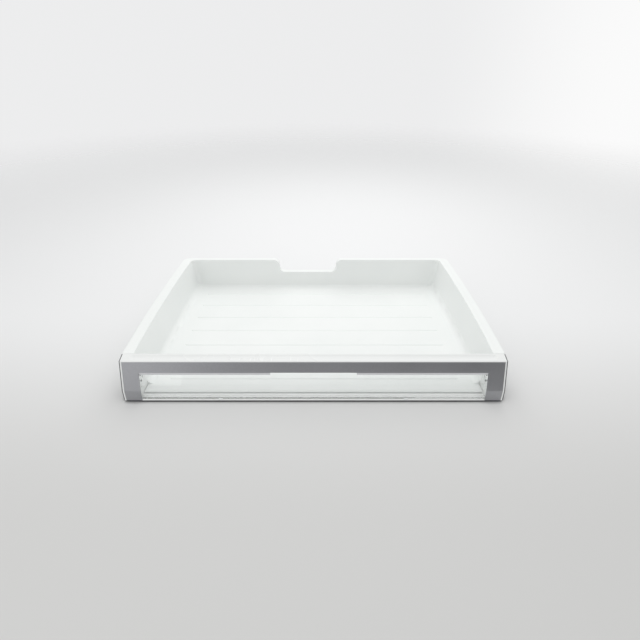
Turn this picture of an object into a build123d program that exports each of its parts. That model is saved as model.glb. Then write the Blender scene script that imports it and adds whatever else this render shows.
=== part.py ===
from build123d import *
import os
from math import atan2, cos, degrees, radians, tan

# A fridge pantry drawer: a wide shallow tub that hangs by its side rims, with a leaning front
# that holds a clear window. Millimetres. X runs to the right, the front faces -Y, Z is up,
# and the origin is on the ground below the middle.

# Overall sizes
rim_span = 724.0           # over the side rims, at the front
depth = 462.0              # front nose to the edge of the back rim
rim_height = 84.0          # top of the rim above the ground

# Tub
wall = 2.6                 # moulded wall of the tub
side_rim = 22.0            # width of the flat side rims
back_rim = 12.0            # width of the flat back rim
rim_skirt = 11.0           # height of the turned-down edge of the rim
rim_edge_radius = 1.5      # rounded top edges of the rim
seam_bevel = 0.9           # bevel on the rim where it meets the front
plan_taper = 8.0           # how far each side closes in from front to back
side_bow = 5.0             # how far each side bows out between front and back
wall_draft = 9.0           # degrees that the side walls lean outwards
back_draft = 3.0           # degrees that the back wall leans outwards
floor_height = 8.0         # top of the floor above the ground
corner_radius = 12.0       # upright corners, inside
back_foot_radius = 6.0     # foot of the back wall, inside
side_foot_radius = 16.0    # foot of the side walls, inside
rim_corner_radius = 16.0   # back corners of the rim in plan
floor_reach = 21.5         # how far the floor runs on under the window
tongue_thickness = 1.6     # floor under the window
floor_gap = 1.0            # each side of that tongue to the posts
ear_thickness = 3.0        # the two ears that carry the front

# Floor ridges and runners
ridge_pitch = 56.5
ridge_width = 8.0
ridge_height = 1.2
ridge_setback = 48.0       # foot of the back wall to the first ridge
ridge_end_gap = 38.5       # foot of a side wall to the ends of the ridges
ridge_front_gap = 10.0     # least distance from the open front to a ridge
runner_width = 5.0
runner_spacing = 440.0
runner_inset = 30.0        # runner ends to the ends of the floor

# Notch in the back wall
notch_width = 153.0
notch_depth = 35.0
notch_offset = -21.0       # from the middle
notch_top_radius = 16.0
notch_foot_radius = 14.0

# Front frame, seen from the side
front_step = 2.0           # each end of the front stands in from the rim
front_rise = 0.2           # back edge of the front above the rim
front_clearance = 3.0      # bottom edge of the front above the ground
lower_face_height = 21.7
lower_face_lean = 5.0      # degrees, foot forwards
upper_face_lean = 20.5     # degrees, foot forwards
top_run = 19.0             # depth of the top, from front to back
top_rise = 4.2             # height that the top gains from front to back
crease_radius = 5.0        # bend between the two faces, on the inside of the window
front_wall = 2.5           # moulded wall of the front frame
end_edge_radius = 1.0      # rounded ends of the front
top_edge_radius = 1.2      # rounded back edge of the top
brow_radius = 1.0          # rounded front edge of the top
dish_width = 13.0          # shallow trough along the top
dish_depth = 1.5
dish_end_margin = 15.0
shelf_thickness = 2.0      # shelf below the window, back to the tub
hook_width = 8.0
hook_height = 1.5
hook_spacing = 354.0
cap_thickness = 1.6        # thin grey caps on both ends of the front
cap_inset = 0.8            # edges of a cap to the edges of the front

# Grey face
plate_thickness = 2.2
plate_end_margin = 3.0     # white edge left at each end
plate_top_lip = 1.5        # white edge left at the top
plate_gap = 0.2
bar_height = 25.8          # height of the bar over the window
bar_bevel_height = 5.0     # bevel along the bar's lower edge
bar_bevel_depth = 1.8
post_width = 31.0
pull_notch_width = 162.0
pull_notch_height = 5.0

# Window
glazing = 2.5              # wall of the clear moulding
window_gap = 0.3
window_cover = 7.0         # height that the window goes up behind the bar
plate_cover = 2.0          # width of the window's ends behind the grey face
flange_depth = 7.5         # flange along the foot of the window
pip_diameter = 5.0
pip_length = 1.8
pip_count = 2
pip_pitch = 11.0
pip_drop = 5.0             # bar's lower edge to the middle of the top pip
pip_setback = 8.0          # face of the window to the middle of a pip

# Screws that fix the front to the tub
screw_diameter = 3.6
screw_length = 12.0
screw_head_diameter = 7.6
screw_head_height = 2.4
screw_pitch = 34.0
screw_gap = 0.1
boss_wall = 2.2
recess_width = 1.0

# Places that follow from the sizes above
lower_slope = tan(radians(lower_face_lean))
upper_slope = tan(radians(upper_face_lean))
front_width = rim_span - 2 * front_step
top_z = rim_height + front_rise
brow_z = top_z - top_rise
nose_y = -depth / 2
crease_y = nose_y + lower_face_height * lower_slope
crease_z = front_clearance + lower_face_height
brow_y = crease_y + (brow_z - crease_z) * upper_slope
seam_y = brow_y + top_run
top_angle = degrees(atan2(top_rise, top_run))
window_inset = plate_thickness + window_gap
bar_z = brow_z - bar_height
window_bottom = front_clearance + shelf_thickness
window_top = bar_z + window_cover
post_face = front_width / 2 - post_width
opening_half = post_face - window_gap - plate_cover
floor_bottom = floor_height - wall
wall_lean = (rim_height - floor_height) * tan(radians(wall_draft))
back_lean = (rim_height - floor_height) * tan(radians(back_draft))
back_foot_y = depth / 2 - back_rim - back_lean
ridge_length = 2 * (rim_span / 2 - side_rim - wall_lean - ridge_end_gap)
first_ridge_y = back_foot_y - ridge_setback
ridge_count = 1 + int((first_ridge_y - seam_y - wall - ridge_front_gap) // ridge_pitch)
screw_x = front_width / 2 - post_width / 2
screw_middle = (floor_height + rim_height - rim_skirt) / 2
screw_heights = [screw_middle - screw_pitch / 2, screw_middle + screw_pitch / 2]
pip_heights = [bar_z - pip_drop - i * pip_pitch for i in range(pip_count)]
SIDES = (-1, 1)
STANDING = (Align.CENTER, Align.CENTER, Align.MIN)
OVER = 5.0                 # how far a cut runs past the surface that it opens
TOUCH = 0.01               # faces and edges closer than this are taken to meet
APART = 0.05               # faces that must not meet are kept this far apart


def face_y(z, inset):
    """Y of the front's face at a height, moved square inwards by an inset."""
    lower = nose_y + (z - front_clearance) * lower_slope + inset / cos(radians(lower_face_lean))
    upper = crease_y + (z - crease_z) * upper_slope + inset / cos(radians(upper_face_lean))
    return max(lower, upper)


def bend_z(inset):
    """Height of the crease on the face moved inwards by an inset."""
    gain = 1 / cos(radians(lower_face_lean)) - 1 / cos(radians(upper_face_lean))
    return crease_z + inset * gain / (upper_slope - lower_slope)


def face_line(bottom, top, inset):
    """The face's line in the YZ plane, from bottom to top, with its crease rounded."""
    foot = (face_y(bottom, inset), bottom)
    head = (face_y(top, inset), top)
    bend = bend_z(inset)
    if top < bend:
        return Line(foot, head)
    radius = crease_radius + window_inset + glazing - inset
    return FilletPolyline(foot, (face_y(bend, inset), bend), head, radius=radius)


def along_x(section, half_width):
    """A section in the YZ plane, run to both sides of the middle."""
    return extrude(Plane.YZ * section, amount=half_width, both=True)


def band(bottom, top, outer, inner, half_width):
    """A bent wall that follows the face between two insets."""
    front = face_line(bottom, top, outer)
    back = face_line(bottom, top, inner)
    ends = Line(front @ 0, back @ 0) + Line(front @ 1, back @ 1)
    return along_x(make_face(front + back + ends), half_width)


def behind_face(bottom, top, inset, back_y, half_width):
    """All that lies between the face, moved inwards by an inset, and an upright plane."""
    front = face_line(bottom, top, inset)
    rest = Polyline(front @ 1, (back_y, top), (back_y, bottom), front @ 0)
    return along_x(make_face(front + rest), half_width)


def front_section(face_inset, wall_inset, bottom, half_width):
    """The whole front under its sloping top, drawn in from its face and from its top and back."""
    top_slope = top_rise / top_run
    drop = wall_inset / cos(radians(top_angle))
    shift = face_inset / cos(radians(upper_face_lean))
    brow = brow_z + (shift * top_slope - drop) / (1 - upper_slope * top_slope)
    back_y = seam_y - wall_inset
    back_z = top_z - wall_inset * top_slope - drop
    front = face_line(bottom, brow, face_inset)
    rest = Polyline(front @ 1, (back_y, back_z), (back_y, bottom), front @ 0)
    return along_x(make_face(front + rest), half_width)


def block(x0, x1, y0, y1, z0, z1):
    """A box between two corners."""
    size = Box(abs(x1 - x0), y1 - y0, z1 - z0, align=(Align.MIN, Align.MIN, Align.MIN))
    return Pos(min(x0, x1), y0, z0) * size


def long_ridge(length, width, height):
    """A low ridge with sloping sides and round ends, along X."""
    foot = SlotOverall(length, width)
    crest = SlotOverall(length - width / 2, width / 2)
    return loft([foot, Pos(0, 0, height) * crest], ruled=True)


def shallow_trough(length, width, depth):
    """A tool for a shallow trough with round ends, along X, cut down from the ground plane."""
    radius = ((width / 2) ** 2 + depth**2) / (2 * depth)
    half = (length - width) / 2
    left = CenterArc((-half, 0), radius, 90, 90)
    right = CenterArc((half, 0), radius, 0, 90)
    lines = Line((-half, radius), (half, radius)) + Line((-half - radius, 0), (half + radius, 0))
    return Pos(0, 0, radius - depth) * revolve(make_face(left + right + lines), Axis.X)


def half_span(y, side_inset):
    """Half the tub's width at a depth: it closes in towards the back, and bows out on the way."""
    along = (y - seam_y) / (depth / 2 - seam_y)
    return rim_span / 2 - side_inset - plan_taper * along + 4 * side_bow * along * (1 - along)


def rim_plan(side_inset, back_inset, front_y):
    """Plan of the tub, drawn in from the edge of the rim, from a front line to the back."""
    back_y = depth / 2 - back_inset
    places = [(half_span(y, side_inset), y) for y in (front_y, (front_y + back_y) / 2, back_y)]
    outline = Curve()
    for x, y in (places[0], places[-1]):
        outline += Line((-x, y), (x, y))
    for side in SIDES:
        outline += ThreePointArc(*[(side * x, y) for x, y in places])
    return make_face(outline)


def leaning_walls(side_inset, back_inset, grow, bottom, top):
    """A block with the tub's leaning walls, grown from the inside by a wall and run on past the front."""
    inside = rim_plan(side_inset, back_inset, seam_y - rim_height)
    plan = offset(inside, grow / cos(radians(wall_draft)), kind=Kind.INTERSECTION)
    body = extrude(Pos(0, 0, bottom) * plan, amount=top - bottom)
    neutral = Plane.XY.offset(rim_height)
    body = draft(body.faces().filter_by(GeomType.CYLINDER), neutral, -wall_draft)
    return draft(body.faces().sort_by(Axis.Y)[-1], neutral, -back_draft)


def round_foot(body, radius):
    """Rounds the foot of the right wall, and of all that runs on from it without a corner."""
    right_foot = body.faces().sort_by(Axis.Z)[0].edges().sort_by(Axis.X)[-1]
    return fillet(right_foot, radius)


def tub_body(grow, bottom, top):
    """The tub's leaning walls with rounded corners, the feet of the sides rounder than the back's."""
    body = leaning_walls(side_rim, back_rim, grow, bottom, top)
    upright = body.edges().filter_by(lambda e: abs(e.tangent_at(0).Z) > 0.5)
    body = fillet(upright.sort_by(Axis.Y)[-2:], corner_radius + grow)
    body = round_foot(body, back_foot_radius + grow)
    side = leaning_walls(side_rim + APART, -rim_height, grow, bottom, top)
    side = round_foot(side, side_foot_radius + grow)
    return body & side & mirror(side, Plane.YZ)


def make_rim():
    """The flat rim on three sides, with its turned-down edge."""
    plan = rim_plan(0, 0, seam_y)
    plan = fillet(plan.vertices().sort_by(Axis.Y)[-2:], rim_corner_radius)
    rim = extrude(Pos(0, 0, rim_height - rim_skirt) * plan, amount=rim_skirt)
    edges = rim.faces().sort_by(Axis.Z)[-1].edges().sort_by(Axis.Y)[1:]
    rim = fillet(edges, rim_edge_radius)
    channel = offset(plan, -wall)
    return rim - extrude(Pos(0, 0, rim_height - rim_skirt) * channel, amount=rim_skirt - wall)


def inner_rim_edges(tub):
    """The edges where the walls turn out into the rim."""
    half = (rim_span - side_rim) / 2
    back_y = (depth - back_rim) / 2
    level = [e for e in tub.edges() if abs(e.center().Z - rim_height) < TOUCH]
    return [e for e in level if abs(e.center().X) < half and seam_y + TOUCH < e.center().Y < back_y]


def notch_outline():
    """The notch in the back wall, in the XZ plane, open at the top with rounded shoulders."""
    half = notch_width / 2
    foot = rim_height - notch_depth
    shoulder = half + notch_top_radius
    neck = rim_height - notch_top_radius
    above = rim_height + OVER
    left = RadiusArc((-shoulder, rim_height), (-half, neck), notch_top_radius)
    dip = FilletPolyline((-half, neck), (-half, foot), (half, foot), (half, neck), radius=notch_foot_radius)
    right = RadiusArc((half, neck), (shoulder, rim_height), notch_top_radius)
    lid = Polyline((shoulder, rim_height), (shoulder, above), (-shoulder, above), (-shoulder, rim_height))
    return make_face(left + dip + right + lid)


def add_notch(tub, cavity):
    """Cuts the notch through the back wall and carries the rim along its edge."""
    outline = notch_outline()
    edge = offset(outline, wall) - outline
    place = Plane((notch_offset, 0, 0), x_dir=(1, 0, 0), z_dir=(0, -1, 0))
    reach = depth / 2
    opening = extrude(place * outline, amount=-(reach + OVER))
    rolled = extrude(place * edge, amount=-reach)
    rolled &= block(-rim_span / 2, rim_span / 2, 0, reach, 0, rim_height)
    return tub - opening + (rolled - cavity)


def at_screws(shape):
    """Copies of a shape on the seam between tub and front, one at each screw."""
    return [Pos(side * screw_x, seam_y, z) * shape for side in SIDES for z in screw_heights]


def screw_hole():
    """The hole for a screw, through the ear and its boss."""
    return Rot(90, 0, 0) * Cylinder(screw_diameter / 2 + screw_gap, 2 * (screw_length + ear_thickness))


def make_tub():
    """The tub, with its rim, ears, floor ridges and runners, and a tongue of floor under the window."""
    cavity = tub_body(0, floor_height, rim_height + OVER)
    tub = tub_body(wall, floor_bottom, rim_height) + make_rim()
    half = front_width / 2
    tub += block(-half, half, seam_y, seam_y + ear_thickness, floor_bottom, rim_height - wall / 2)
    tub -= cavity
    tub -= block(-rim_span, rim_span, seam_y - depth, seam_y, 0, rim_height + OVER)
    tub = fillet(inner_rim_edges(tub), rim_edge_radius)
    front_edges = [e for e in tub.edges().filter_by(Axis.X) if abs(e.center().Z - rim_height) < TOUCH]
    tub = chamfer([e for e in front_edges if abs(e.center().Y - seam_y) < TOUCH], seam_bevel)
    tub = add_notch(tub, cavity)
    tongue_half = post_face - floor_gap
    tongue_front = seam_y - floor_reach
    tongue_bottom = floor_height - tongue_thickness
    tub += block(-tongue_half, tongue_half, tongue_front, seam_y + wall, tongue_bottom, floor_height)
    ridge = long_ridge(ridge_length, ridge_width, ridge_height)
    for i in range(ridge_count):
        tub += Pos(0, first_ridge_y - i * ridge_pitch, floor_height) * ridge
    for side in SIDES:
        x = side * runner_spacing / 2
        ends = (seam_y + runner_inset, back_foot_y - runner_inset)
        tub += block(x - runner_width / 2, x + runner_width / 2, *ends, 0, floor_bottom)
    for hole in at_screws(screw_hole()):
        tub -= hole
    return tub


def make_front_frame():
    """The white frame behind the grey face: a dished top, two hollow posts and a thin shelf."""
    half = front_width / 2
    frame = front_section(0, 0, front_clearance, half)
    ends = frame.faces().filter_by(Axis.X).edges()
    shown = [e for e in ends if e.center().Y < seam_y - TOUCH and e.center().Z > front_clearance + TOUCH]
    frame = fillet(shown, end_edge_radius)
    along = frame.edges().filter_by(Axis.X).sort_by(Axis.Z)
    frame = fillet(along[-1], top_edge_radius)
    frame = fillet(frame.edges().filter_by(Axis.X).sort_by_distance((0, brow_y, brow_z))[0], brow_radius)
    seat_top = brow_z - plate_top_lip
    below = front_clearance - OVER
    frame -= band(below, seat_top, -OVER, plate_thickness, half - plate_end_margin)
    frame -= front_section(plate_thickness + front_wall, front_wall, below, half - front_wall)
    inner_wall = front_section(plate_thickness, front_wall / 2, front_clearance, front_wall / 2)
    for side in SIDES:
        frame += Pos(side * (post_face + front_wall / 2), 0, 0) * inner_wall
    frame -= block(-post_face, post_face, nose_y - OVER, seam_y - front_wall, below, window_top + window_gap)
    frame -= block(-post_face, post_face, nose_y - OVER, seam_y + OVER, below, bar_z)
    frame += behind_face(front_clearance, window_bottom, plate_thickness, seam_y, post_face)
    frame += band(front_clearance, window_bottom, 0, plate_thickness, opening_half - plate_gap)
    hook = band(front_clearance, window_bottom + hook_height, 0, plate_thickness, hook_width / 2)
    for side in SIDES:
        frame += Pos(side * hook_spacing / 2, 0, 0) * hook
    boss = Cylinder(screw_diameter / 2 + boss_wall, screw_length, align=STANDING)
    for placed in at_screws(Rot(90, 0, 0) * boss):
        frame += placed
    for hole in at_screws(screw_hole()):
        frame -= hole
    for side in SIDES:
        for z in pip_heights:
            frame -= pip(side, z, window_gap)
    dish = shallow_trough(front_width - 2 * dish_end_margin, dish_width, dish_depth)
    top_middle = Pos(0, (brow_y + seam_y) / 2, (brow_z + top_z) / 2)
    return frame - top_middle * Rot(top_angle, 0, 0) * dish


def pip(side, z, gap):
    """One snap pip on an end of the window, or the hole for it."""
    reach = pip_length + gap + glazing
    at = Pos(side * (post_face - window_gap - glazing / 2), face_y(z, window_inset) + pip_setback, z)
    shape = Cylinder(pip_diameter / 2 + gap, reach, align=STANDING)
    return at * Rot(0, side * 90, 0) * shape


def make_decor_plate():
    """The grey face: one bent plate round three sides of the window, bevelled along the bar's lower edge."""
    half = front_width / 2 - plate_end_margin - plate_gap
    top = brow_z - plate_top_lip - plate_gap
    plate = band(front_clearance, top, 0, plate_thickness, half)
    plate -= block(-opening_half, opening_half, nose_y - OVER, seam_y, front_clearance - OVER, bar_z)
    bar_middle = bar_z + bar_height / 2
    bar_face = plate.faces().sort_by_distance((0, face_y(bar_middle, 0), bar_middle))[0]
    lower_edge = bar_face.edges().sort_by_distance((0, face_y(bar_z, 0), bar_z))[0]
    plate = chamfer(lower_edge, bar_bevel_height, bar_bevel_depth, reference=bar_face)
    pull_half = pull_notch_width / 2
    return plate - block(-pull_half, pull_half, nose_y, seam_y, bar_z - OVER, bar_z + pull_notch_height)


def make_end_caps():
    """Two thin grey caps that close the ends of the front."""
    cap = front_section(cap_inset, cap_inset, front_clearance + cap_inset, cap_thickness / 2)
    x = (front_width + cap_thickness) / 2
    return Compound(children=[Pos(side * x, 0, 0) * cap for side in SIDES])


def make_window():
    """The clear moulding: a bent face, a flange along its foot and two end gussets with snap pips."""
    half = post_face - window_gap
    window = band(window_bottom, window_top, window_inset, window_inset + glazing, half)
    flange_back = face_y(window_bottom, window_inset) + flange_depth
    flange_top = window_bottom + glazing
    window += behind_face(window_bottom, flange_top, window_inset, flange_back, half)
    middle = window_inset + glazing / 2
    gusset_top = bar_z - window_gap
    gusset_back = (seam_y - window_gap, gusset_top)
    corners = [(face_y(crease_z, middle), crease_z), (face_y(gusset_top, middle), gusset_top), gusset_back]
    gusset = along_x(make_face(Polyline(*corners, close=True)), glazing / 2)
    for side in SIDES:
        window += Pos(side * (half - glazing / 2), 0, 0) * gusset
        for z in pip_heights:
            window += pip(side, z, 0)
    return window


def make_frame_screws():
    """Four cross-headed screws, driven from behind through the ears."""
    shank = Pos(0, 0, -screw_length) * Cylinder(screw_diameter / 2, screw_length, align=STANDING)
    shank = chamfer(shank.edges().sort_by(Axis.Z)[0], screw_diameter / 3)
    head = Cylinder(screw_head_diameter / 2, screw_head_height, align=STANDING)
    head = chamfer(head.edges().sort_by(Axis.Z)[-1], screw_head_height / 3)
    slot = Box(screw_head_diameter / 2, recess_width, screw_head_height)
    screw = shank + head - Pos(0, 0, screw_head_height) * (slot + Rot(0, 0, 90) * slot)
    return Compound(children=at_screws(Pos(0, ear_thickness, 0) * Rot(-90, 0, 0) * screw))


def main():
    os.makedirs("parts", exist_ok=True)
    makers = {
        "tub": make_tub,
        "front_frame": make_front_frame,
        "decor_plate": make_decor_plate,
        "end_caps": make_end_caps,
        "window": make_window,
        "frame_screws": make_frame_screws,
    }
    for node, make in makers.items():
        export_step(make(), f"parts/{node}.step")


if __name__ == "__main__":
    main()
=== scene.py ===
from math import radians

import bmesh
import bpy
from bpy.props import FloatProperty, FloatVectorProperty, PointerProperty
from bpy.types import Operator, Panel, PropertyGroup
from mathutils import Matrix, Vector

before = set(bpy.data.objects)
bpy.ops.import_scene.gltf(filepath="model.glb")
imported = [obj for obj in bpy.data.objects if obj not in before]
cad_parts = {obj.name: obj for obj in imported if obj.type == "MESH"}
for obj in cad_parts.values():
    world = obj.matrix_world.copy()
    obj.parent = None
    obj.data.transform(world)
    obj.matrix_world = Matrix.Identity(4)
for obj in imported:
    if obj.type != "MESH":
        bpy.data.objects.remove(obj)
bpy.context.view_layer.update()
POST_EDGE = 0.3266         # half the width between the grey posts, in metres
BEVEL_TOP = 0.0588         # upper edge of the bevel along the grey bar, in metres

bl_info = {
    "name": "Pantry Drawer",
    "version": (1, 0, 0),
    "blender": (4, 5, 0),
    "location": "View3D > Sidebar > Pantry Drawer",
    "description": "Gives a fridge pantry drawer its moulded plastic, silver paint, clear window and stage",
    "category": "Object",
}


def colour(name, description, default):
    """A colour that a user may change."""
    return FloatVectorProperty(
        name=name, description=description, default=default, subtype="COLOR", size=3, min=0.0, max=1.0
    )


def share(name, description, default):
    """A number from 0 to 1."""
    return FloatProperty(
        name=name, description=description, default=default, subtype="FACTOR", min=0.0, max=1.0
    )


def length(name, description, default):
    """A length in metres."""
    return FloatProperty(
        name=name, description=description, default=default, unit="LENGTH", min=0.0, precision=5
    )


def place(name, description, default):
    """A point, in metres."""
    return FloatVectorProperty(
        name=name, description=description, default=default, subtype="TRANSLATION", unit="LENGTH", size=3
    )


def power(name, description, default):
    """The power of a lamp, in watts."""
    return FloatProperty(name=name, description=description, default=default, unit="POWER", min=0.0)


class PantryDrawerFinish(PropertyGroup):
    """Colours and textures of the drawer's own surfaces."""

    tub_colour: colour("Tub", "White plastic of the tub", (0.885, 0.902, 0.890))
    tub_shade: colour("Tub Shade", "Faint clouding in the tub's plastic", (0.860, 0.880, 0.868))
    tub_roughness: share("Tub Roughness", "Gloss of the tub", 0.34)
    frame_colour: colour("Frame", "White plastic of the front frame", (0.853, 0.863, 0.854))
    frame_shade: colour("Frame Shade", "Faint clouding in the frame's plastic", (0.831, 0.843, 0.834))
    frame_roughness: share("Frame Roughness", "Gloss of the front frame", 0.27)
    peel_size: length("Orange Peel", "Size of the ripples that the mould leaves", 0.0016)
    silver_colour: colour("Silver", "Silver-grey paint of the face", (0.430, 0.433, 0.452))
    silver_shade: colour("Silver Shade", "Darker flakes in the paint", (0.340, 0.343, 0.359))
    silver_roughness: share("Silver Roughness", "Gloss of the paint", 0.38)
    flake_size: length("Flake", "Size of the flakes in the paint", 0.0005)
    bevel_colour: colour("Bevel", "Bright bevel along the lower edge of the grey bar", (0.790, 0.793, 0.815))
    cap_colour: colour("End Caps", "Grey plastic of the end caps", (0.085, 0.086, 0.092))
    cap_roughness: share("Cap Roughness", "Gloss of the end caps", 0.42)
    window_colour: colour("Window", "Tint of the clear plastic", (0.985, 0.996, 0.992))
    window_roughness: share("Window Roughness", "Haze of the clear plastic", 0.025)
    screw_colour: colour("Screws", "Bright zinc of the screws", (0.620, 0.630, 0.640))
    screw_roughness: share("Screw Roughness", "Gloss of the zinc", 0.32)


class PantryDrawerStage(PropertyGroup):
    """The floor, the light and the camera."""

    paper_colour: colour("Paper", "Pale floor behind and beside the drawer", (0.850, 0.852, 0.856))
    # Painted shade: this colour greys the floor in front of the drawer, standing in for the falling light
    # and the drawer's shadow there.
    paper_painted_shade: colour("Near Paper", "Greyer floor in front of the drawer", (0.645, 0.643, 0.636))
    paper_radius: length("Paper Radius", "Where the floor has faded into the room", 3.2)
    # Painted shadow: the floor is darkened towards this near-black colour wherever the drawer is near, in
    # the gap round its foot.
    painted_shadow_colour: colour("Corner", "Floor in the tight gap round the drawer's foot", (0.050, 0.050, 0.055))
    painted_shadow_reach: length("Corner Reach", "How near a surface must be to darken the floor", 0.016)
    light_colour: colour("Light", "Even light that falls from all sides", (0.745, 0.749, 0.747))
    room_colour: colour("Room", "Pale room all round the drawer", (0.845, 0.847, 0.852))
    room_right: colour("Room Right", "Brighter wall far to the right", (0.960, 0.960, 0.960))
    side_colour: colour("Sides", "Dimmer walls to the left and right", (0.380, 0.383, 0.390))
    near_left: colour("Near Left", "Room behind the camera, to its left", (0.520, 0.523, 0.535))
    near_right: colour("Near Right", "Dim room behind the camera, to its right", (0.070, 0.071, 0.076))
    softbox_place: place("Softbox Place", "Middle of the lamp above and behind", (0.12, 0.85, 1.35))
    softbox_size: length("Softbox Size", "Side of the lamp above and behind", 1.4)
    softbox_power: power("Softbox Power", "Power of the lamp above and behind", 7.5)
    side_lamp_place: place("Side Lamp Place", "Middle of the lamp at the front left", (-0.85, -1.1, 0.35))
    side_lamp_size: length("Side Lamp Size", "Side of the lamp at the front left", 0.7)
    side_lamp_power: power("Side Lamp Power", "Power of the lamp at the front left", 1.0)
    top_lamp_place: place("Top Lamp Place", "Middle of the lamp above the tub", (0.0, -0.15, 1.5))
    top_lamp_size: length("Top Lamp Size", "Side of the lamp above the tub", 1.0)
    top_lamp_power: power("Top Lamp Power", "Power of the lamp above the tub", 2.5)
    camera_place: place("Camera Place", "Where the camera stands", (0.0123, -0.8244, 0.5778))
    camera_pitch: FloatProperty(
        name="Camera Pitch", description="How far the camera looks down",
        default=radians(33.37), subtype="ANGLE",
    )
    camera_lens: FloatProperty(
        name="Camera Lens", description="Focal length on a sensor 36 mm wide",
        default=23.906, unit="CAMERA",
    )


def add_node(tree, kind, inputs=None, **settings):
    """Adds a node, sets its options, and sets or links its inputs."""
    node = tree.nodes.new(kind)
    for option, value in settings.items():
        setattr(node, option, value)
    for socket, value in (inputs or {}).items():
        if isinstance(value, bpy.types.NodeSocket):
            tree.links.new(value, node.inputs[socket])
        else:
            node.inputs[socket].default_value = value
    return node


def new_material(name):
    """A material with a bare Principled shader, its node tree and its Object coordinates."""
    material = bpy.data.materials.new(name)
    material.use_nodes = True
    tree = material.node_tree
    shader = tree.nodes["Principled BSDF"]
    coords = add_node(tree, "ShaderNodeTexCoord").outputs["Object"]
    return material, tree, shader, coords


def noise(tree, coords, size, detail=2.0, stretch=(1.0, 1.0, 1.0)):
    """Noise whose features have a size in metres, longer along an axis where the stretch is below 1."""
    if stretch != (1.0, 1.0, 1.0):
        coords = add_node(tree, "ShaderNodeMapping", {"Vector": coords, "Scale": stretch}).outputs["Vector"]
    made = add_node(tree, "ShaderNodeTexNoise", {"Vector": coords, "Scale": 1.0 / size, "Detail": detail})
    return made.outputs["Fac"]


def spread(tree, value, low, high, out_low=0.0, out_high=1.0, curve="LINEAR"):
    """Maps a value from one range to another, and keeps it there."""
    inputs = {"Value": value, "From Min": low, "From Max": high, "To Min": out_low, "To Max": out_high}
    return add_node(tree, "ShaderNodeMapRange", inputs, interpolation_type=curve).outputs["Result"]


def blend_colours(tree, factor, first, second):
    """Mixes two colours by a factor."""
    mix = add_node(tree, "ShaderNodeMix", data_type="RGBA")
    tree.links.new(factor, mix.inputs[0])
    for socket, value in ((mix.inputs[6], first), (mix.inputs[7], second)):
        if isinstance(value, bpy.types.NodeSocket):
            tree.links.new(value, socket)
        else:
            socket.default_value = (*value, 1.0)
    return mix.outputs[2]


def calculate(tree, operation, *values):
    """One step of arithmetic on up to three values."""
    return add_node(tree, "ShaderNodeMath", dict(enumerate(values)), operation=operation).outputs["Value"]


def bumps(tree, *layers):
    """Stacks bump layers, each a height with its depth in metres and its strength."""
    normal = None
    for height, depth, strength in layers:
        inputs = {"Height": height, "Distance": depth, "Strength": strength}
        if normal is not None:
            inputs["Normal"] = normal
        normal = add_node(tree, "ShaderNodeBump", inputs).outputs["Normal"]
    return normal


def moulded_white(name, base, shade, roughness, peel_size):
    """Glossy white moulded plastic, faintly clouded, with orange peel and hair-fine scuffs along Y."""
    material, tree, shader, coords = new_material(name)
    clouds = noise(tree, coords, size=0.16, detail=4.0)
    peel = noise(tree, coords, size=peel_size)
    hairs = noise(tree, coords, size=0.004, detail=3.0, stretch=(1.0, 0.035, 1.0))
    scuffs = spread(tree, hairs, 0.66, 0.74)
    tone = blend_colours(tree, spread(tree, clouds, 0.35, 0.68), base, shade)
    tree.links.new(tone, shader.inputs["Base Color"])
    gloss = spread(tree, clouds, 0.3, 0.7, roughness - 0.05, roughness + 0.05)
    scuff_roughness = 0.14
    worn = calculate(tree, "MULTIPLY_ADD", scuffs, scuff_roughness, gloss)
    tree.links.new(worn, shader.inputs["Roughness"])
    normal = bumps(tree, (peel, 0.00006, 0.35), (scuffs, 0.00003, 0.25))
    tree.links.new(normal, shader.inputs["Normal"])
    shader.inputs["IOR"].default_value = 1.5
    return material


def bar_bevel(tree, coords):
    """1 on the bevel along the bar's lower edge, which lies below the bar's face and between the posts."""
    parts = add_node(tree, "ShaderNodeSeparateXYZ", {"Vector": coords}).outputs
    beside = calculate(tree, "LESS_THAN", calculate(tree, "ABSOLUTE", parts["X"]), POST_EDGE)
    below = calculate(tree, "LESS_THAN", parts["Z"], BEVEL_TOP)
    return calculate(tree, "MULTIPLY", beside, below)


def silver_paint(name, base, shade, roughness, flake_size, bevel):
    """Satin silver-grey paint: fine flakes of two tones under a thin clear coat, and a bright bevel."""
    material, tree, shader, coords = new_material(name)
    cells = add_node(tree, "ShaderNodeTexVoronoi", {"Vector": coords, "Scale": 1.0 / flake_size})
    flakes = add_node(tree, "ShaderNodeSeparateColor", {"Color": cells.outputs["Color"]}).outputs["Red"]
    peel = noise(tree, coords, size=0.0022)
    clouds = noise(tree, coords, size=0.09, detail=3.0)
    paint = blend_colours(tree, flakes, base, shade)
    tree.links.new(blend_colours(tree, bar_bevel(tree, coords), paint, bevel), shader.inputs["Base Color"])
    gloss = spread(tree, clouds, 0.3, 0.7, roughness - 0.04, roughness + 0.05)
    tree.links.new(gloss, shader.inputs["Roughness"])
    normal = bumps(tree, (flakes, 0.00002, 0.20), (peel, 0.00005, 0.25))
    tree.links.new(normal, shader.inputs["Normal"])
    shader.inputs["Metallic"].default_value = 0.85
    shader.inputs["Coat Weight"].default_value = 0.25
    shader.inputs["Coat Roughness"].default_value = 0.12
    return material


def cap_grey(name, base, roughness):
    """Plain grey moulded plastic with a fine grain."""
    material, tree, shader, coords = new_material(name)
    grain = noise(tree, coords, size=0.0009, detail=3.0)
    pale = tuple(1.25 * channel for channel in base)
    tree.links.new(blend_colours(tree, grain, base, pale), shader.inputs["Base Color"])
    gloss = spread(tree, grain, 0.3, 0.7, roughness - 0.06, roughness + 0.06)
    tree.links.new(gloss, shader.inputs["Roughness"])
    tree.links.new(bumps(tree, (grain, 0.00004, 0.3)), shader.inputs["Normal"])
    return material


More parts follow.
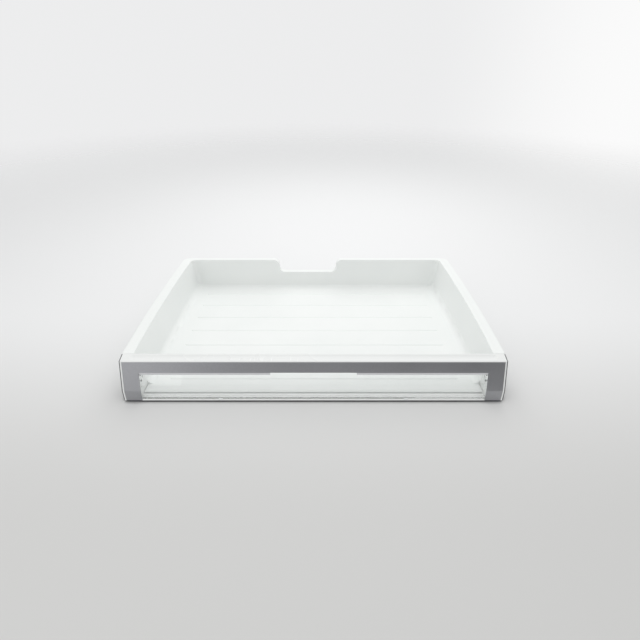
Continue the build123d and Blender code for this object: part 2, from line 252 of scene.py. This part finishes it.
def clear_plastic(name, tint, haze):
    """Clear moulded plastic with soft flow lines along X and a few fine scratches, which casts no shadow."""
    material, tree, shader, coords = new_material(name)
    flow = noise(tree, coords, size=0.03, stretch=(0.06, 1.0, 1.0))
    hairs = noise(tree, coords, size=0.003, detail=3.0, stretch=(0.03, 1.0, 1.0))
    scratches = spread(tree, hairs, 0.70, 0.76)
    no_tint = (1.0, 1.0, 1.0)
    tone = blend_colours(tree, spread(tree, flow, 0.35, 0.65, out_high=0.4), tint, no_tint)
    tree.links.new(tone, shader.inputs["Base Color"])
    scratch_roughness = 0.10
    gloss = calculate(tree, "MULTIPLY_ADD", scratches, scratch_roughness, haze)
    tree.links.new(gloss, shader.inputs["Roughness"])
    shader.inputs["Transmission Weight"].default_value = 1.0
    shader.inputs["IOR"].default_value = 1.49
    path = add_node(tree, "ShaderNodeLightPath").outputs
    unseen = calculate(tree, "MAXIMUM", path["Is Shadow Ray"], path["Is Diffuse Ray"])
    see_through = add_node(tree, "ShaderNodeBsdfTransparent").outputs["BSDF"]
    mix = add_node(tree, "ShaderNodeMixShader", {0: unseen, 1: shader.outputs["BSDF"], 2: see_through})
    tree.links.new(mix.outputs["Shader"], tree.nodes["Material Output"].inputs["Surface"])
    return material


def bright_zinc(name, base, roughness):
    """Bright zinc with fine turning marks round the screws, whose axes run along Y."""
    material, tree, shader, coords = new_material(name)
    marks = noise(tree, coords, size=0.0006, stretch=(0.4, 3.0, 0.4))
    stain = noise(tree, coords, size=0.006)
    dull = tuple(0.8 * channel for channel in base)
    tone = blend_colours(tree, spread(tree, stain, 0.4, 0.65), base, dull)
    tree.links.new(tone, shader.inputs["Base Color"])
    gloss = spread(tree, stain, 0.3, 0.7, roughness - 0.08, roughness + 0.1)
    tree.links.new(gloss, shader.inputs["Roughness"])
    tree.links.new(bumps(tree, (marks, 0.00004, 0.3)), shader.inputs["Normal"])
    shader.inputs["Metallic"].default_value = 1.0
    return material


def dress(node, material):
    """Gives a CAD node its finished material."""
    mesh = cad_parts[node].data
    mesh.materials.clear()
    mesh.materials.append(material)


def finish_of(context):
    """The drawer's own settings."""
    return context.scene.pantry_drawer_finish


class PANTRY_OT_tub(Operator):
    """Give the tub its glossy white moulded plastic"""

    bl_idname = "pantry.tub"
    bl_label = "Tub"

    def execute(self, context):
        settings = finish_of(context)
        white = moulded_white(
            "tub_white", settings.tub_colour, settings.tub_shade,
            settings.tub_roughness, settings.peel_size,
        )
        dress("tub", white)
        return {"FINISHED"}


class PANTRY_OT_front_frame(Operator):
    """Give the front frame its glossier white plastic"""

    bl_idname = "pantry.front_frame"
    bl_label = "Front Frame"

    def execute(self, context):
        settings = finish_of(context)
        white = moulded_white(
            "frame_white", settings.frame_colour, settings.frame_shade,
            settings.frame_roughness, settings.peel_size,
        )
        dress("front_frame", white)
        return {"FINISHED"}


class PANTRY_OT_decor_plate(Operator):
    """Paint the grey face"""

    bl_idname = "pantry.decor_plate"
    bl_label = "Grey Face"

    def execute(self, context):
        settings = finish_of(context)
        paint = silver_paint(
            "silver_paint", settings.silver_colour, settings.silver_shade,
            settings.silver_roughness, settings.flake_size, settings.bevel_colour,
        )
        dress("decor_plate", paint)
        return {"FINISHED"}


class PANTRY_OT_end_caps(Operator):
    """Give the two end caps their grey plastic"""

    bl_idname = "pantry.end_caps"
    bl_label = "End Caps"

    def execute(self, context):
        settings = finish_of(context)
        dress("end_caps", cap_grey("cap_grey", settings.cap_colour, settings.cap_roughness))
        return {"FINISHED"}


class PANTRY_OT_window(Operator):
    """Make the window of clear plastic"""

    bl_idname = "pantry.window"
    bl_label = "Window"

    def execute(self, context):
        settings = finish_of(context)
        dress("window", clear_plastic("clear_plastic", settings.window_colour, settings.window_roughness))
        return {"FINISHED"}


class PANTRY_OT_screws(Operator):
    """Plate the four screws with bright zinc"""

    bl_idname = "pantry.screws"
    bl_label = "Screws"

    def execute(self, context):
        settings = finish_of(context)
        dress("frame_screws", bright_zinc("screw_steel", settings.screw_colour, settings.screw_roughness))
        return {"FINISHED"}


def paper_floor(stage):
    """A round pale floor with painted shade in front and a painted shadow round the drawer's foot, that
    fades into the room and isn't seen from below.
    """
    material, tree, shader, coords = new_material("pale_paper")
    depth = add_node(tree, "ShaderNodeSeparateXYZ", {"Vector": coords}).outputs["Y"]
    grain = noise(tree, coords, size=0.0012, detail=3.0)
    # Painted shade: the floor's colour greys from behind the drawer towards its front, with the paper's
    # grain mixed in.
    painted_shade_until = -0.50
    pale_from = 0.10
    tone = spread(tree, depth, painted_shade_until, pale_from, curve="SMOOTHSTEP")
    painted_shade_and_grain = calculate(tree, "MULTIPLY", tone, spread(tree, grain, 0.2, 0.8, out_low=0.96))
    paper = blend_colours(tree, painted_shade_and_grain, stage.paper_painted_shade, stage.paper_colour)
    # Painted shadow: ambient occlusion darkens the floor's colour in the gap round the drawer's foot.
    painted_shadow_occlusion = add_node(tree, "ShaderNodeAmbientOcclusion", {"Distance": stage.painted_shadow_reach}).outputs["AO"]
    paper_with_painted_shadow = blend_colours(tree, spread(tree, painted_shadow_occlusion, 0.40, 0.82, 1.0, 0.0), paper, stage.painted_shadow_colour)
    tree.links.new(paper_with_painted_shadow, shader.inputs["Base Color"])
    shader.inputs["Roughness"].default_value = 0.65
    shader.inputs["Specular IOR Level"].default_value = 0.25
    distance = add_node(tree, "ShaderNodeVectorMath", {0: coords}, operation="LENGTH").outputs["Value"]
    fade_start = 0.25 * stage.paper_radius
    fade = spread(tree, distance, fade_start, stage.paper_radius, curve="SMOOTHSTEP")
    below = add_node(tree, "ShaderNodeNewGeometry").outputs["Backfacing"]
    clear = calculate(tree, "MAXIMUM", fade, below)
    see_through = add_node(tree, "ShaderNodeBsdfTransparent").outputs["BSDF"]
    mix = add_node(tree, "ShaderNodeMixShader", {0: clear, 1: shader.outputs["BSDF"], 2: see_through})
    tree.links.new(mix.outputs["Shader"], tree.nodes["Material Output"].inputs["Surface"])

    shape = bmesh.new()
    bmesh.ops.create_circle(shape, cap_ends=True, radius=stage.paper_radius, segments=96)
    mesh = bpy.data.meshes.new("paper_floor")
    shape.to_mesh(mesh)
    shape.free()
    mesh.materials.append(material)
    floor = bpy.data.objects.new("paper_floor", mesh)
    bpy.context.scene.collection.objects.link(floor)


def room_light(stage):
    """A pale room, brighter far to the right, and dimmer low down at both sides and behind the camera.

    What is seen or mirrored of it differs from the even light that it gives.
    The parts of a direction run from -1 to 1.
    """
    world = bpy.data.worlds.new("pale_room")
    world.use_nodes = True
    tree = world.node_tree
    direction = add_node(tree, "ShaderNodeTexCoord").outputs["Generated"]
    parts = add_node(tree, "ShaderNodeSeparateXYZ", {"Vector": direction}).outputs
    sideways = calculate(tree, "ABSOLUTE", parts["X"])
    beside = spread(tree, sideways, 0.55, 0.95, curve="SMOOTHSTEP")
    low = spread(tree, parts["Z"], 0.10, 0.45, 1.0, 0.0, "SMOOTHSTEP")
    rightwards = spread(tree, parts["X"], 0.20, 0.55, curve="SMOOTHSTEP")
    tone = blend_colours(tree, rightwards, stage.room_colour, stage.room_right)
    tone = blend_colours(tree, calculate(tree, "MULTIPLY", beside, low), tone, stage.side_colour)
    across = spread(tree, parts["X"], -0.50, 0.35, curve="SMOOTHSTEP")
    near = blend_colours(tree, across, stage.near_left, stage.near_right)
    toward = spread(tree, parts["Y"], -0.25, -0.80, curve="SMOOTHSTEP")
    under = spread(tree, parts["Z"], 0.20, 0.70, 1.0, 0.0, "SMOOTHSTEP")
    tone = blend_colours(tree, calculate(tree, "MULTIPLY", toward, under), tone, near)
    path = add_node(tree, "ShaderNodeLightPath").outputs
    seen = calculate(tree, "MAXIMUM", path["Is Camera Ray"], path["Is Glossy Ray"])
    seen = calculate(tree, "MAXIMUM", seen, path["Is Transmission Ray"])
    tone = blend_colours(tree, seen, stage.light_colour, tone)
    tree.links.new(tone, tree.nodes["Background"].inputs["Color"])
    bpy.context.scene.world = world


def soft_lamp(name, middle, side, watts):
    """A square soft lamp that looks at the drawer."""
    lamp = bpy.data.lights.new(name, "AREA")
    lamp.size = side
    lamp.energy = watts
    holder = bpy.data.objects.new(name, lamp)
    holder.location = middle
    holder.rotation_euler = (-Vector(middle)).to_track_quat("-Z", "Y").to_euler()
    bpy.context.scene.collection.objects.link(holder)
    return holder


def photo_camera(stage):
    """The camera, level from side to side, looking down on the drawer's front."""
    data = bpy.data.cameras.new("camera")
    data.lens = stage.camera_lens
    camera = bpy.data.objects.new("camera", data)
    camera.location = stage.camera_place
    camera.rotation_euler = (radians(90.0) - stage.camera_pitch, 0.0, 0.0)
    bpy.context.scene.collection.objects.link(camera)
    bpy.context.scene.camera = camera


class PANTRY_OT_stage(Operator):
    """Set the pale floor, the room, the three lamps and the camera"""

    bl_idname = "pantry.stage"
    bl_label = "Stage"

    def execute(self, context):
        stage = context.scene.pantry_drawer_stage
        paper_floor(stage)
        room_light(stage)
        softbox = soft_lamp("softbox", stage.softbox_place, stage.softbox_size, stage.softbox_power)
        softbox.visible_glossy = False    # keeps its glare off the top of the front
        soft_lamp("side_lamp", stage.side_lamp_place, stage.side_lamp_size, stage.side_lamp_power)
        soft_lamp("top_lamp", stage.top_lamp_place, stage.top_lamp_size, stage.top_lamp_power)
        photo_camera(stage)
        context.scene.view_settings.view_transform = "Standard"
        return {"FINISHED"}


OPERATORS = (
    PANTRY_OT_tub,
    PANTRY_OT_front_frame,
    PANTRY_OT_decor_plate,
    PANTRY_OT_end_caps,
    PANTRY_OT_window,
    PANTRY_OT_screws,
    PANTRY_OT_stage,
)


class PANTRY_PT_panel(Panel):
    """The drawer's pieces and their settings"""

    bl_idname = "PANTRY_PT_panel"
    bl_label = "Pantry Drawer"
    bl_space_type = "VIEW_3D"
    bl_region_type = "UI"
    bl_category = "Pantry Drawer"

    def draw(self, context):
        for operator in OPERATORS:
            self.layout.operator(operator.bl_idname)
        for group in (finish_of(context), context.scene.pantry_drawer_stage):
            box = self.layout.box()
            for name in group.bl_rna.properties.keys():
                if name not in ("name", "rna_type"):
                    box.prop(group, name)


CLASSES = (PantryDrawerFinish, PantryDrawerStage, *OPERATORS, PANTRY_PT_panel)


def register():
    for cls in CLASSES:
        bpy.utils.register_class(cls)
    bpy.types.Scene.pantry_drawer_finish = PointerProperty(type=PantryDrawerFinish)
    bpy.types.Scene.pantry_drawer_stage = PointerProperty(type=PantryDrawerStage)


def unregister():
    del bpy.types.Scene.pantry_drawer_stage
    del bpy.types.Scene.pantry_drawer_finish
    for cls in reversed(CLASSES):
        bpy.utils.unregister_class(cls)


def main():
    register()
    bpy.ops.pantry.tub()
    bpy.ops.pantry.front_frame()
    bpy.ops.pantry.decor_plate()
    bpy.ops.pantry.end_caps()
    bpy.ops.pantry.window()
    bpy.ops.pantry.screws()
    bpy.ops.pantry.stage()


if __name__ == "__main__":
    main()
